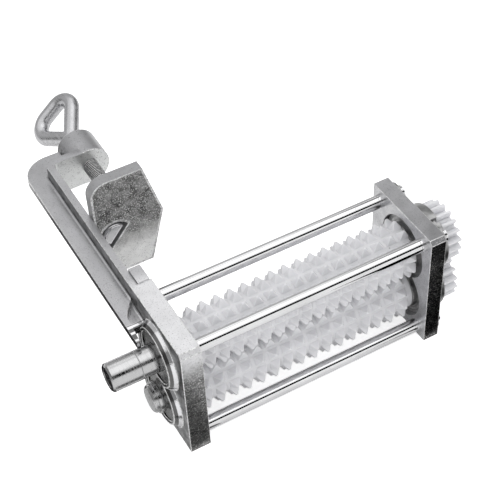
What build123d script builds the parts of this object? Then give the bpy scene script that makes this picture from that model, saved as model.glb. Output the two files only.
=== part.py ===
from build123d import *
import os
from math import acos, cos, pi, radians, sin, tan

# Hand-cranked meat tenderizer: two side plates joined by four tie rods carry a pair of
# toothed rollers, geared together at the far end. The near plate is one casting with an
# arm, whose screw presses a jaw towards the pad at the plate's back to hold a worktop.
# X runs along the rollers from the near plate to the far one, Y from the feeding side
# to the clamp, and Z from the plates' bottoms up. While the pieces are made, x = 0 is
# the near plate's inner face, y = 0 the plates' front and z = 0 their bottom.

# Side plates
plate_depth = 56.9
plate_height = 80.0
near_plate_thick = 12.3
far_plate_thick = 9.8
plate_gap = 140.8
bevel_back = 1.9
bevel_down = 2.8
far_face_in = plate_gap
far_face_out = plate_gap + far_plate_thick

# Roller axes, a little in front of and below the plates' middle
axis_forward = 1.95
axis_drop = 0.4
axis_distance = 31.8
axis_y = plate_depth / 2 - axis_forward
lower_axis_z = plate_height / 2 - axis_drop - axis_distance / 2
upper_axis_z = lower_axis_z + axis_distance

# Shafts
shaft_r = 8.15
running_gap = 0.05
drive_stub_reach = 30.9
lower_stub_reach = 9.9
shaft_chamfer = 1.0
drive_tip_x = -near_plate_thick - drive_stub_reach
lower_tip_x = -near_plate_thick - lower_stub_reach
crank_seat_length = 17.0
seat_line_width = 0.5
seat_line_depth = 0.25
crank_socket_r = 5.0
crank_socket_depth = 14.0
cross_pin_r = 2.0
cross_pin_half = 12.0
thrust_collar_r = 9.4
thrust_collar_start = 4.2
thrust_collar_width = 3.0

# Rollers: rings of blunt four-sided points
tip_r = 17.7
root_r = 13.35
groove_r = 13.5
groove_width = 2.1
root_angle = 7
point_blunt = 1.0
ring_pitch = 8.48
teeth_per_ring = 12
end_play = 0.5
upper_rings = 17
lower_rings = 16
upper_first_ring = 2.17
lower_first_ring = upper_first_ring + ring_pitch / 2
upper_tooth_angle = 14.6
lower_tooth_angle = 0
collar_rise = 0.25
roller_start = end_play
roller_end = plate_gap - end_play

# Gears on the far ends of the shafts
gear_teeth = 18
gear_width = 10.0
gear_gap = 0.4
gear_phase = 5
pressure_angle = 20
flank_slack = 0.15
key_width = 4.0
key_height = 4.0
key_length = 9.0
circlip_r = 10.5
circlip_thick = 1.1
circlip_depth = 0.65
circlip_gap = 5.0
circlip_land = 1.9

# Bearing bosses and bushes in the near plate
boss_base_r = 20.5
boss_rim_r = 17.5
boss_reach = 3.9
lip_r = 16.6
lip_height = 0.4
bush_flange_r = 15.3
bush_flange_thick = 2.7
bush_barrel_r = 11.0
spanner_slot_width = 3.4
spanner_slot_depth = 1.2
spanner_slot_inset = 1.5

# Bearing housing and bushes in the far plate; the rim is left above and below them
housing_rim = 4.7
housing_r = (plate_height - axis_distance) / 2 - housing_rim
housing_recess = 3.2
housing_reach = 8.4
housing_key_angle = 112.8
housing_key_width = 3.2
housing_key_depth = 2.6
far_flange_r = 14.0
thrust_gap = 0.3

# Tie rods and their push-on clips
rod_r = 4.0
rod_side_inset = 7.9
rod_top_inset = 7.0
rod_bottom_inset = 7.05
rod_seat_depth = 9.0
rod_end_reach = 4.7
rod_chamfer = 0.5
rod_groove_width = 0.4
rod_groove_depth = 0.2
rod_groove_inset = 2.8
rod_end_groove_inset = 1.3
clip_r = 7.0
clip_thick = 1.2
clip_slot_width = 1.2
clip_slot_reach = 1.4
clip_slots = 6
rod_front_y = rod_side_inset
rod_rear_y = plate_depth - rod_side_inset
rod_top_z = plate_height - rod_top_inset
rod_bottom_z = rod_bottom_inset

# Clamp arm, one casting with the near plate
arm_height = 23.5
arm_drop = 12.5
arm_length = 113.1
flange_thick = 4.3
web_width = 11.3
web_thick = 5.0
web_rise = 2.5
wall_thick = 5.0
wall_outer_round = 6.0
wall_inner_round = 2.5
web_round = 17.0
web_back_reach = 19.8
root_fillet = 1.5
finger_length = 28.9
finger_tip_thick = 1.9
finger_root_thick = 3.4
finger_root_reach = 11.0
neck_start_reach = 2.0
finger_round = 0.8
root_rib_reach = 15.9
root_rib_drop = 3.5
root_rib_height = 4.7
pad_width = 6.9
pad_length = 12.1
pad_rise = 1.6
arm_middle_z = plate_height - arm_drop
arm_bottom_z = arm_middle_z - arm_height / 2
wall_face_y = plate_depth + arm_length
web_back_y = wall_face_y + web_back_reach
flange_face_x = -near_plate_thick + flange_thick
web_edge_x = -near_plate_thick - web_width

# Clamp boss and screw
screw_inset = 22.5
screw_r = 4.75
clamp_boss_r = 12.3
clamp_boss_length = 21.5
loop_reach = 7.5
loop_height = 31.0
loop_half_width = 22.0
loop_tilt = 40
loop_bend = 8.8
neck_r = 3.4
screw_tip_chamfer = 0.8
screw_x = flange_face_x + screw_inset
loop_apex_y = wall_face_y + clamp_boss_length + loop_reach
loop_base_y = loop_apex_y + loop_height

# Jaw
jaw_opening = 46.0
jaw_thick = 7.0
jaw_side_gap = 0.8
jaw_height = 71.0
jaw_sink = 0.7
jaw_width = 32.6
jaw_point_reach = 9.8
jaw_left_round = 10.0
jaw_right_round = 2.5
jaw_hub_r = 8.0
jaw_hub_length = 5.0
socket_floor = 2.6
socket_gap = 0.3
jaw_pin_r = 1.0
jaw_pin_half = 6.2
recess_inset = 11.7
recess_sink = 5.8
recess_r = 9.6
recess_flat = 2.9
recess_turn = -40
recess_depth = 3.2
stud_r = 7.6
stud_flat = 1.7
stud_root_r = 3.2
stud_root = 2.0
stud_dome = 2.2
jaw_face_y = plate_depth + pad_length + jaw_opening
jaw_middle_z = arm_middle_z - jaw_sink
jaw_left_x = flange_face_x + jaw_side_gap
jaw_shoulder_x = jaw_left_x + jaw_width
jaw_point_x = jaw_shoulder_x + jaw_point_reach
recess_x = jaw_left_x + recess_inset
recess_z = jaw_middle_z - recess_sink
jaw_back_y = jaw_face_y + jaw_thick
socket_floor_y = jaw_back_y - socket_floor
jaw_pin_y = jaw_back_y + jaw_hub_length / 2
jaw_pin_offset = neck_r + socket_gap + jaw_pin_r

# Places along the shafts
housing_end_x = far_face_out + housing_reach
gear_start_x = housing_end_x + gear_gap
gear_end_x = gear_start_x + gear_width
shaft_end_x = gear_end_x + circlip_thick + circlip_land

os.makedirs("parts", exist_ok=True)

# The origin lies on the ground under the middle of the whole machine
origin_x = (drive_tip_x + shaft_end_x) / 2
origin_y = (loop_base_y + screw_r) / 2


def save(piece, node):
    """Name a finished piece, move it to the origin and write it."""
    shape = piece.part.moved(Location((-origin_x, -origin_y, 0)))
    shape.label = node
    export_step(shape, f"parts/{node}.step")


def plate_outline():
    """Side view of a plate, with the bevel along its upper front edge."""
    with BuildSketch(mode=Mode.PRIVATE) as outline:
        with BuildLine():
            Polyline(
                (0, 0),
                (plate_depth, 0),
                (plate_depth, plate_height),
                (bevel_back, plate_height),
                (0, plate_height - bevel_down),
                close=True,
            )
        make_face()
    return outline.sketch


rod_places = {
    "front_top": (rod_front_y, rod_top_z),
    "rear_top": (rod_rear_y, rod_top_z),
    "front_bottom": (rod_front_y, rod_bottom_z),
    "rear_bottom": (rod_rear_y, rod_bottom_z),
}
axis_places = [(axis_y, upper_axis_z), (axis_y, lower_axis_z)]


def near_frame():
    """Near side plate, bearing bosses, clamp arm, pad and clamp boss in one casting."""
    boss_face_x = -near_plate_thick - boss_reach
    with BuildPart() as frame:
        # Side plate
        with BuildSketch(Plane.YZ.offset(-near_plate_thick)):
            add(plate_outline())
        extrude(amount=near_plate_thick)
        # Tapered bosses round both bearings
        for place in axis_places:
            with BuildSketch(Plane.YZ.offset(-near_plate_thick)):
                with Locations(place):
                    Circle(boss_base_r)
            with BuildSketch(Plane.YZ.offset(boss_face_x)):
                with Locations(place):
                    Circle(boss_rim_r)
            loft()
        # Upright flange of the arm, turning into the wall that carries the screw boss
        with BuildSketch(Plane.XY.offset(arm_bottom_z)):
            with BuildLine():
                Polyline(
                    (-near_plate_thick, plate_depth - near_plate_thick),
                    (-near_plate_thick, wall_face_y + wall_thick),
                    (screw_x, wall_face_y + wall_thick),
                    (screw_x, wall_face_y),
                    (flange_face_x, wall_face_y),
                    (flange_face_x, plate_depth - near_plate_thick),
                    close=True,
                )
            rib = make_face()
            corners = rib.vertices().group_by(Axis.X)
            fillet(corners[0].sort_by(Axis.Y)[-1], wall_outer_round)
        extrude(amount=arm_height)
        inner_corner = (
            frame.edges()
            .filter_by(Axis.Z)
            .filter_by_position(Axis.X, flange_face_x, flange_face_x)
            .filter_by_position(Axis.Y, wall_face_y, wall_face_y)
        )
        fillet(inner_corner, wall_inner_round)
        # Flat web outside the flange and the wall, ending in a finger over the drive shaft
        with BuildSketch(Plane.XY.offset(arm_middle_z - web_thick + web_rise)):
            with BuildLine():
                Polyline(
                    (web_edge_x + finger_tip_thick, plate_depth - finger_length),
                    (web_edge_x, plate_depth - finger_length),
                    (web_edge_x, web_back_y - web_round),
                )
                RadiusArc(
                    (web_edge_x, web_back_y - web_round),
                    (web_edge_x + web_round, web_back_y),
                    web_round,
                )
                Polyline(
                    (web_edge_x + web_round, web_back_y),
                    (screw_x, web_back_y),
                    (screw_x, wall_face_y + wall_thick / 2),
                    (-near_plate_thick + flange_thick / 2, wall_face_y + wall_thick / 2),
                    (-near_plate_thick + flange_thick / 2, plate_depth + neck_start_reach),
                    (-near_plate_thick, plate_depth + neck_start_reach),
                )
                Spline(
                    (-near_plate_thick, plate_depth + neck_start_reach),
                    (web_edge_x + finger_root_thick, plate_depth - finger_root_reach),
                    tangents=[(-1, -2), (-1, -4)],
                )
                Line(
                    (web_edge_x + finger_root_thick, plate_depth - finger_root_reach),
                    (web_edge_x + finger_tip_thick, plate_depth - finger_length),
                )
            make_face()
        extrude(amount=web_thick)
        finger_tip = (
            frame.edges()
            .filter_by(Axis.Z)
            .filter_by_position(
                Axis.Y, plate_depth - finger_length, plate_depth - finger_length
            )
        )
        fillet(finger_tip, finger_round)
        # Lower rib between the finger's root, the boss and the plate
        rib_start_y = plate_depth - root_rib_reach
        rib_end_y = plate_depth + 2 * neck_start_reach
        web_top_z = arm_middle_z + web_rise
        with BuildSketch(Plane.XY.offset(web_top_z - root_rib_drop - root_rib_height)):
            with BuildLine():
                Polyline(
                    (web_edge_x + finger_tip_thick / 2, rib_start_y),
                    (-near_plate_thick + flange_thick / 2, rib_start_y),
                    (-near_plate_thick + flange_thick / 2, rib_end_y),
                    (web_edge_x + finger_tip_thick / 2, rib_end_y),
                    close=True,
                )
            make_face()
        extrude(amount=root_rib_height)
        # Boss for the clamp screw at the end of the wall
        with BuildSketch(Plane.XZ.offset(-wall_face_y)):
            with Locations((screw_x, arm_middle_z)):
                Circle(clamp_boss_r)
        extrude(amount=-clamp_boss_length)
        # Pad at the back of the plate, which the jaw works against
        with BuildSketch(Plane.XY.offset(arm_bottom_z)):
            with Locations((flange_face_x, plate_depth)):
                Rectangle(pad_width, pad_length, align=(Align.MIN, Align.MIN))
        extrude(amount=arm_height + pad_rise)
        # Root fillets where the web leaves the flange
        web_root = (
            frame.edges()
            .filter_by(Axis.Y)
            .filter_by_position(Axis.X, -near_plate_thick, -near_plate_thick)
            .filter_by_position(Axis.Z, web_top_z - web_thick, web_top_z)
        )
        fillet(web_root, root_fillet)
        # Bearing seats: a shallow step inside each lip, a flange seat and a barrel bore
        with BuildSketch(Plane.YZ.offset(boss_face_x)):
            with Locations(*axis_places):
                Circle(lip_r)
        extrude(amount=lip_height, mode=Mode.SUBTRACT)
        with BuildSketch(Plane.YZ.offset(boss_face_x)):
            with Locations(*axis_places):
                Circle(bush_flange_r)
        extrude(amount=boss_reach, mode=Mode.SUBTRACT)
        with BuildSketch(Plane.YZ.offset(boss_face_x)):
            with Locations(*axis_places):
                Circle(bush_barrel_r)
        extrude(amount=boss_reach + near_plate_thick, mode=Mode.SUBTRACT)
        # Blind seats of the four tie rods
        with BuildSketch(Plane.YZ.offset(-rod_seat_depth)):
            with Locations(*rod_places.values()):
                Circle(rod_r)
        extrude(amount=rod_seat_depth, mode=Mode.SUBTRACT)
        # Tapped hole for the clamp screw
        with BuildSketch(Plane.XZ.offset(-wall_face_y)):
            with Locations((screw_x, arm_middle_z)):
                Circle(screw_r + running_gap)
        extrude(amount=-clamp_boss_length, mode=Mode.SUBTRACT)
    return frame


def far_plate():
    """Far side plate, with one opening round both bearings."""
    with BuildPart() as plate:
        with BuildSketch(Plane.YZ.offset(far_face_in)):
            add(plate_outline())
            with Locations(*axis_places):
                Circle(housing_r, mode=Mode.SUBTRACT)
            with Locations(*rod_places.values()):
                Circle(rod_r, mode=Mode.SUBTRACT)
        extrude(amount=far_plate_thick)
    return plate


def far_bearing_housing():
    """Figure-of-eight block that fills the far plate's opening and holds two bushes."""
    housing_start_x = far_face_in + housing_recess
    with BuildPart() as housing:
        with BuildSketch(Plane.YZ.offset(housing_start_x)):
            with Locations(*axis_places):
                Circle(housing_r)
            with Locations(*axis_places):
                Circle(bush_barrel_r, mode=Mode.SUBTRACT)
        extrude(amount=housing_end_x - housing_start_x)
        # Locating slot along the part that stands out of the plate
        turn = radians(housing_key_angle)
        slot_r = housing_r - housing_key_depth / 2
        with BuildSketch(Plane.YZ.offset(far_face_out)):
            with Locations(
                (axis_y + slot_r * cos(turn), upper_axis_z + slot_r * sin(turn))
            ):
                Rectangle(2 * housing_key_depth, housing_key_width, rotation=housing_key_angle)
        extrude(amount=housing_reach, mode=Mode.SUBTRACT)
    return housing


def near_bush(axis_z):
    """Flanged bush of the near plate, with four spanner slots in its face."""
    flange_face = -near_plate_thick - bush_flange_thick
    with BuildPart() as bush:
        with BuildSketch(Plane.YZ.offset(flange_face)):
            with Locations((axis_y, axis_z)):
                Circle(bush_flange_r)
        extrude(amount=bush_flange_thick)
        with BuildSketch(Plane.YZ.offset(-near_plate_thick)):
            with Locations((axis_y, axis_z)):
                Circle(bush_barrel_r)
        extrude(amount=near_plate_thick)
        with BuildSketch(Plane.YZ.offset(flange_face)):
            with Locations((axis_y, axis_z)):
                Circle(shaft_r + running_gap)
        extrude(amount=bush_flange_thick + near_plate_thick, mode=Mode.SUBTRACT)
        with BuildSketch(Plane.YZ.offset(flange_face)):
            with Locations((axis_y, axis_z)):
                with PolarLocations(bush_flange_r, 4, start_angle=-5):
                    Rectangle(2 * spanner_slot_inset, spanner_slot_width)
        extrude(amount=spanner_slot_depth, mode=Mode.SUBTRACT)
    return bush


def far_bush(axis_z):
    """Flanged bush of the far housing: its flange faces the roller."""
    flange_face = roller_end + thrust_gap
    housing_start_x = far_face_in + housing_recess
    with BuildPart() as bush:
        with BuildSketch(Plane.YZ.offset(flange_face)):
            with Locations((axis_y, axis_z)):
                Circle(far_flange_r)
        extrude(amount=housing_start_x - flange_face)
        with BuildSketch(Plane.YZ.offset(housing_start_x)):
            with Locations((axis_y, axis_z)):
                Circle(bush_barrel_r)
        extrude(amount=housing_end_x - housing_start_x)
        with BuildSketch(Plane.YZ.offset(flange_face)):
            with Locations((axis_y, axis_z)):
                Circle(shaft_r + running_gap)
        extrude(amount=housing_end_x - flange_face, mode=Mode.SUBTRACT)
    return bush


def tie_rod(place):
    """Plain rod, seated blind in the near plate and standing out of the far one."""
    rod_end_x = far_face_out + rod_end_reach
    groove_starts = [
        far_face_in - rod_groove_inset,
        rod_end_x - rod_end_groove_inset,
    ]
    with BuildPart() as rod:
        with BuildSketch(Plane.YZ.offset(-rod_seat_depth)):
            with Locations(place):
                Circle(rod_r)
        extrude(amount=rod_seat_depth + rod_end_x)
        end_edges = rod.edges().filter_by(GeomType.CIRCLE).group_by(Axis.X)[-1]
        chamfer(end_edges, rod_chamfer)
        for groove_start in groove_starts:
            with BuildSketch(Plane.YZ.offset(groove_start)):
                with Locations(place):
                    Circle(rod_r)
                    Circle(rod_r - rod_groove_depth, mode=Mode.SUBTRACT)
            extrude(amount=rod_groove_width, mode=Mode.SUBTRACT)
    return rod


def rod_clips():
    """Push-on clips of the four rod ends, one solid each."""
    with BuildPart() as clips:
        for place in rod_places.values():
            with BuildSketch(Plane.YZ.offset(far_face_out)):
                with Locations(place):
                    Circle(clip_r)
                    Circle(rod_r, mode=Mode.SUBTRACT)
                with Locations(*axis_places):
                    Circle(housing_r + running_gap, mode=Mode.SUBTRACT)
                with Locations(place):
                    with PolarLocations(rod_r, clip_slots):
                        Rectangle(2 * clip_slot_reach, clip_slot_width, mode=Mode.SUBTRACT)
            extrude(amount=clip_thick)
    return clips


def shaft(axis_z, tip_x, pin_x):
    """Steel shaft with its cross-pin hole, keyway and circlip groove."""
    with BuildPart() as bar:
        with BuildSketch(Plane.YZ.offset(tip_x)):
            with Locations((axis_y, axis_z)):
                Circle(shaft_r)
        extrude(amount=shaft_end_x - tip_x)
        rims = bar.edges().filter_by(GeomType.CIRCLE).group_by(Axis.X)
        chamfer(rims[0] + rims[-1], shaft_chamfer)
        with BuildSketch(Plane.XY.offset(axis_z - cross_pin_half)):
            with Locations((pin_x, axis_y)):
                Circle(cross_pin_r)
        extrude(amount=2 * cross_pin_half, mode=Mode.SUBTRACT)
        with BuildSketch(Plane.XY.offset(axis_z + shaft_r - key_height / 2)):
            with Locations((gear_start_x, axis_y)):
                Rectangle(key_length, key_width, align=(Align.MIN, Align.CENTER))
        extrude(amount=key_height, mode=Mode.SUBTRACT)
        with BuildSketch(Plane.YZ.offset(gear_end_x)):
            with Locations((axis_y, axis_z)):
                Circle(shaft_r)
                Circle(shaft_r - circlip_depth, mode=Mode.SUBTRACT)
        extrude(amount=circlip_thick, mode=Mode.SUBTRACT)
    return bar


def upper_shaft(pin_x):
    """Driven shaft: the crank seats on its stub and in the socket of its end."""
    seat_line_x = drive_tip_x + crank_seat_length
    blank = shaft(upper_axis_z, drive_tip_x, pin_x)
    with BuildPart() as bar:
        add(blank.part)
        with BuildSketch(Plane.YZ.offset(seat_line_x)):
            with Locations((axis_y, upper_axis_z)):
                Circle(shaft_r)
                Circle(shaft_r - seat_line_depth, mode=Mode.SUBTRACT)
        extrude(amount=seat_line_width, mode=Mode.SUBTRACT)
        with BuildSketch(Plane.YZ.offset(drive_tip_x)):
            with Locations((axis_y, upper_axis_z)):
                Circle(crank_socket_r)
        extrude(amount=crank_socket_depth, mode=Mode.SUBTRACT)
    return bar


def roller(axis_z, rings, first_ring, first_angle, pin_x):
    """Toothed roller: a star-shaped bar, turned down between the rings of points."""
    half_blunt = point_blunt / 2
    half_groove = groove_width / 2
    half_root = radians(root_angle) / 2
    star = []
    for tooth in range(teeth_per_ring):
        middle = radians(first_angle + tooth * 360 / teeth_per_ring)
        valley = middle + pi / teeth_per_ring
        for side in (-half_blunt, half_blunt):
            star.append(
                (
                    axis_y + tip_r * cos(middle) - side * sin(middle),
                    axis_z + tip_r * sin(middle) + side * cos(middle),
                )
            )
        for turn in (valley - half_root, valley + half_root):
            star.append((axis_y + root_r * cos(turn), axis_z + root_r * sin(turn)))
    first_valley = first_ring - ring_pitch / 2
    last_valley = first_valley + rings * ring_pitch
    profile = [(first_valley, axis_y), (first_valley, axis_y + groove_r)]
    for ring in range(rings):
        middle = first_ring + ring * ring_pitch
        profile.append((middle - ring_pitch / 2 + half_groove, axis_y + groove_r))
        profile.append((middle - half_blunt, axis_y + tip_r))
        profile.append((middle + half_blunt, axis_y + tip_r))
        profile.append((middle + ring_pitch / 2 - half_groove, axis_y + groove_r))
    profile.append((last_valley, axis_y + groove_r))
    profile.append((last_valley, axis_y))
    with BuildPart() as body:
        with BuildSketch(Plane.YZ.offset(roller_start)):
            with BuildLine():
                Polyline(*star, close=True)
            make_face()
        extrude(amount=roller_end - roller_start)
        with BuildSketch(Plane.XY.offset(axis_z)):
            with BuildLine():
                Polyline(*profile, close=True)
            make_face()
        revolve(axis=Axis((0, axis_y, axis_z), (1, 0, 0)), mode=Mode.INTERSECT)
        # Plain collars between the end rings and the roller's ends
        for start, end in ((roller_start, first_valley), (last_valley, roller_end)):
            if end > start:
                with BuildSketch(Plane.YZ.offset(start)):
                    with Locations((axis_y, axis_z)):
                        Circle(root_r + collar_rise)
                extrude(amount=end - start)
        with BuildSketch(Plane.YZ.offset(roller_start)):
            with Locations((axis_y, axis_z)):
                Circle(shaft_r)
        extrude(amount=roller_end - roller_start, mode=Mode.SUBTRACT)
        with BuildSketch(Plane.XY.offset(axis_z - cross_pin_half)):
            with Locations((pin_x, axis_y)):
                Circle(cross_pin_r)
        extrude(amount=2 * cross_pin_half, mode=Mode.SUBTRACT)
    return body


def cross_pin(axis_z, pin_x):
    """Pin through roller and shaft."""
    with BuildPart() as pin:
        with BuildSketch(Plane.XY.offset(axis_z - cross_pin_half)):
            with Locations((pin_x, axis_y)):
                Circle(cross_pin_r)
        extrude(amount=2 * cross_pin_half)
    return pin


def gear(axis_z):
    """Involute spur gear, keyed to the shaft; its teeth are thinned to leave slack."""
    pitch_r = axis_distance / 2
    module = 2 * pitch_r / gear_teeth
    outer_r = pitch_r + module
    foot_r = pitch_r - 1.25 * module
    base_r = pitch_r * cos(radians(pressure_angle))

    def half_angle(radius):
        """Half the angle that a tooth fills at one radius."""
        slope = radians(pressure_angle)
        slope_here = acos(base_r / max(radius, base_r))
        at_pitch = pi / (2 * gear_teeth) - flank_slack / pitch_r
        return at_pitch + tan(slope) - slope - tan(slope_here) + slope_here

    def at(radius, angle):
        return (axis_y + radius * cos(angle), axis_z + radius * sin(angle))

    flank_radii = [base_r, pitch_r, outer_r]
    with BuildPart() as wheel:
        with BuildSketch(Plane.YZ.offset(gear_start_x)):
            with BuildLine():
                for tooth in range(gear_teeth):
                    middle = radians(gear_phase + tooth * 360 / gear_teeth)
                    after = middle + 2 * pi / gear_teeth
                    rise = [at(r, middle - half_angle(r)) for r in flank_radii]
                    fall = [at(r, middle + half_angle(r)) for r in reversed(flank_radii)]
                    Line(at(foot_r, middle - half_angle(foot_r)), rise[0])
                    Spline(*rise)
                    ThreePointArc(rise[-1], at(outer_r, middle), fall[0])
                    Spline(*fall)
                    Line(fall[-1], at(foot_r, middle + half_angle(foot_r)))
                    ThreePointArc(
                        at(foot_r, middle + half_angle(foot_r)),
                        at(foot_r, (middle + after) / 2),
                        at(foot_r, after - half_angle(foot_r)),
                    )
            make_face()
            with Locations((axis_y, axis_z)):
                Circle(shaft_r, mode=Mode.SUBTRACT)
            with Locations((axis_y, axis_z + shaft_r)):
                Rectangle(key_width, key_height, mode=Mode.SUBTRACT)
        extrude(amount=gear_width)
    return wheel


def gear_key(axis_z):
    """Parallel key between gear and shaft."""
    with BuildPart() as key:
        with BuildSketch(Plane.XY.offset(axis_z + shaft_r - key_height / 2)):
            with Locations((gear_start_x, axis_y)):
                Rectangle(key_length, key_width, align=(Align.MIN, Align.CENTER))
        extrude(amount=key_height)
    return key


def gear_circlip(axis_z):
    """Open ring in the groove outside the gear."""
    with BuildPart() as ring:
        with BuildSketch(Plane.YZ.offset(gear_end_x)):
            with Locations((axis_y, axis_z)):
                Circle(circlip_r)
                Circle(shaft_r - circlip_depth, mode=Mode.SUBTRACT)
            with Locations((axis_y, axis_z - circlip_r)):
                Rectangle(circlip_gap, circlip_r, mode=Mode.SUBTRACT)
        extrude(amount=circlip_thick)
    return ring


def thrust_collar():
    """Ring on the lower shaft outside its bush."""
    collar_x = -near_plate_thick - thrust_collar_start
    with BuildPart() as collar:
        with BuildSketch(Plane.YZ.offset(collar_x - thrust_collar_width)):
            with Locations((axis_y, lower_axis_z)):
                Circle(thrust_collar_r)
                Circle(shaft_r, mode=Mode.SUBTRACT)
        extrude(amount=thrust_collar_width)
    return collar


def loop_place(side, y):
    """A point of the screw's loop, which lies in a tilted plane through the screw."""
    tilt = radians(loop_tilt)
    return (screw_x + side * cos(tilt), y, arm_middle_z + side * sin(tilt))


def clamp_screw():
    """Clamp screw: one bar, bent into a triangular loop and back to itself."""
    screw_tip_y = socket_floor_y + socket_gap
    groove_half = jaw_pin_r + socket_gap
    apex = loop_place(0, loop_apex_y)
    half_way_back = loop_place(-loop_half_width / 2, (loop_apex_y + loop_base_y) / 2)
    with BuildPart() as screw:
        with BuildLine() as bar_path:
            FilletPolyline(
                (screw_x, screw_tip_y, arm_middle_z),
                apex,
                loop_place(loop_half_width, loop_base_y),
                loop_place(-loop_half_width, loop_base_y),
                half_way_back,
                radius=loop_bend,
            )
        with BuildSketch(Plane.XZ.offset(-screw_tip_y)):
            with Locations((screw_x, arm_middle_z)):
                Circle(screw_r)
        sweep(path=bar_path.line)
        # The last leg runs back into the bar
        with BuildLine() as leg_path:
            leg = Line(half_way_back, apex)
        with BuildSketch(Plane(origin=half_way_back, z_dir=leg % 0)):
            Circle(screw_r)
        sweep(path=leg_path.line)
        tip = screw.edges().filter_by(GeomType.CIRCLE).sort_by(Axis.Y)[0]
        chamfer(tip, screw_tip_chamfer)
        # Neck that the jaw's pins hold
        with BuildSketch(Plane.XZ.offset(-(jaw_pin_y - groove_half))):
            with Locations((screw_x, arm_middle_z)):
                Circle(screw_r)
                Circle(neck_r, mode=Mode.SUBTRACT)
        extrude(amount=-2 * groove_half, mode=Mode.SUBTRACT)
    return screw


def flat_sided_disc(radius, flat):
    """Disc cut flat along one side, square to the direction of recess_turn."""
    with BuildSketch(mode=Mode.PRIVATE) as disc:
        Circle(radius)
        with Locations(Location((0, 0, 0), (0, 0, recess_turn))):
            with Locations((flat, 0)):
                Rectangle(
                    radius, 2 * radius, align=(Align.MIN, Align.CENTER), mode=Mode.SUBTRACT
                )
    return disc.sketch


def clamp_jaw():
    """Pressing plate with a rounded left side and a blunt point on the right."""
    half_height = jaw_height / 2
    with BuildPart() as jaw:
        with BuildSketch(Plane.XZ.offset(-jaw_face_y)):
            with BuildLine():
                Polyline(
                    (jaw_left_x, jaw_middle_z - half_height),
                    (jaw_shoulder_x, jaw_middle_z - half_height),
                    (jaw_point_x, jaw_middle_z),
                    (jaw_shoulder_x, jaw_middle_z + half_height),
                    (jaw_left_x, jaw_middle_z + half_height),
                    close=True,
                )
            outline = make_face()
            columns = outline.vertices().group_by(Axis.X)
            fillet(columns[0], jaw_left_round)
            fillet(columns[1] + columns[2], jaw_right_round)
        extrude(amount=-jaw_thick)
        # Hub that takes the screw's tip
        with BuildSketch(Plane.XZ.offset(-jaw_back_y)):
            with Locations((screw_x, arm_middle_z)):
                Circle(jaw_hub_r)
        extrude(amount=-jaw_hub_length)
        with BuildSketch(Plane.XZ.offset(-socket_floor_y)):
            with Locations((screw_x, arm_middle_z)):
                Circle(screw_r + running_gap)
        extrude(amount=-(socket_floor + jaw_hub_length), mode=Mode.SUBTRACT)
        # Holes of the two pins beside the screw's neck
        with BuildSketch(Plane.YZ.offset(screw_x - jaw_pin_half)):
            with Locations(
                (jaw_pin_y, arm_middle_z + jaw_pin_offset),
                (jaw_pin_y, arm_middle_z - jaw_pin_offset),
            ):
                Circle(jaw_pin_r)
        extrude(amount=2 * jaw_pin_half, mode=Mode.SUBTRACT)
        # Recess with one flat side in the face, and the stud's hole in its floor
        with BuildSketch(Plane.XZ.offset(-jaw_face_y)):
            with Locations((recess_x, recess_z)):
                add(flat_sided_disc(recess_r, recess_flat))
        extrude(amount=-recess_depth, mode=Mode.SUBTRACT)
        with BuildSketch(Plane.XZ.offset(-(jaw_face_y + recess_depth))):
            with Locations((recess_x, recess_z)):
                Circle(stud_root_r)
        extrude(amount=-stud_root, mode=Mode.SUBTRACT)
    return jaw


def jaw_pins():
    """Two pins across the jaw's hub that hold the screw's neck."""
    with BuildPart() as pins:
        with BuildSketch(Plane.YZ.offset(screw_x - jaw_pin_half)):
            with Locations(
                (jaw_pin_y, arm_middle_z + jaw_pin_offset),
                (jaw_pin_y, arm_middle_z - jaw_pin_offset),
            ):
                Circle(jaw_pin_r)
        extrude(amount=2 * jaw_pin_half)
    return pins


def jaw_stud():
    """Stud whose domed head fills most of the jaw's recess."""
    recess_floor_y = jaw_face_y + recess_depth
    with BuildPart() as stud:
        with BuildSketch(Plane.XZ.offset(-recess_floor_y)):
            with Locations((recess_x, recess_z)):
                add(flat_sided_disc(stud_r, stud_flat))
        extrude(amount=recess_depth)
        front = stud.faces().sort_by(Axis.Y)[0]
        fillet(front.edges(), stud_dome)
        with BuildSketch(Plane.XZ.offset(-recess_floor_y)):
            with Locations((recess_x, recess_z)):
                Circle(stud_root_r)
        extrude(amount=-stud_root)
    return stud


pin_x = plate_gap / 2
save(near_frame(), "near_frame")
save(far_plate(), "far_plate")
save(far_bearing_housing(), "far_bearing_housing")
for corner, place in rod_places.items():
    save(tie_rod(place), f"tie_rod_{corner}")
save(rod_clips(), "rod_clips")
save(upper_shaft(pin_x), "upper_shaft")
save(shaft(lower_axis_z, lower_tip_x, pin_x), "lower_shaft")
save(
    roller(upper_axis_z, upper_rings, upper_first_ring, upper_tooth_angle, pin_x),
    "upper_roller",
)
save(
    roller(lower_axis_z, lower_rings, lower_first_ring, lower_tooth_angle, pin_x),
    "lower_roller",
)
for level, axis_z in (("upper", upper_axis_z), ("lower", lower_axis_z)):
    save(near_bush(axis_z), f"{level}_near_bush")
    save(far_bush(axis_z), f"{level}_far_bush")
    save(cross_pin(axis_z, pin_x), f"{level}_roller_pin")
    save(gear(axis_z), f"{level}_gear")
    save(gear_key(axis_z), f"{level}_gear_key")
    save(gear_circlip(axis_z), f"{level}_gear_circlip")
save(thrust_collar(), "lower_thrust_collar")
save(clamp_screw(), "clamp_screw")
save(clamp_jaw(), "clamp_jaw")
save(jaw_pins(), "jaw_pins")
save(jaw_stud(), "jaw_stud")
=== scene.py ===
from math import cos, hypot, pi, radians, sin

import bmesh
import bpy
from bpy.props import FloatProperty, FloatVectorProperty, IntProperty, PointerProperty
from mathutils import Matrix, Vector


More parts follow.
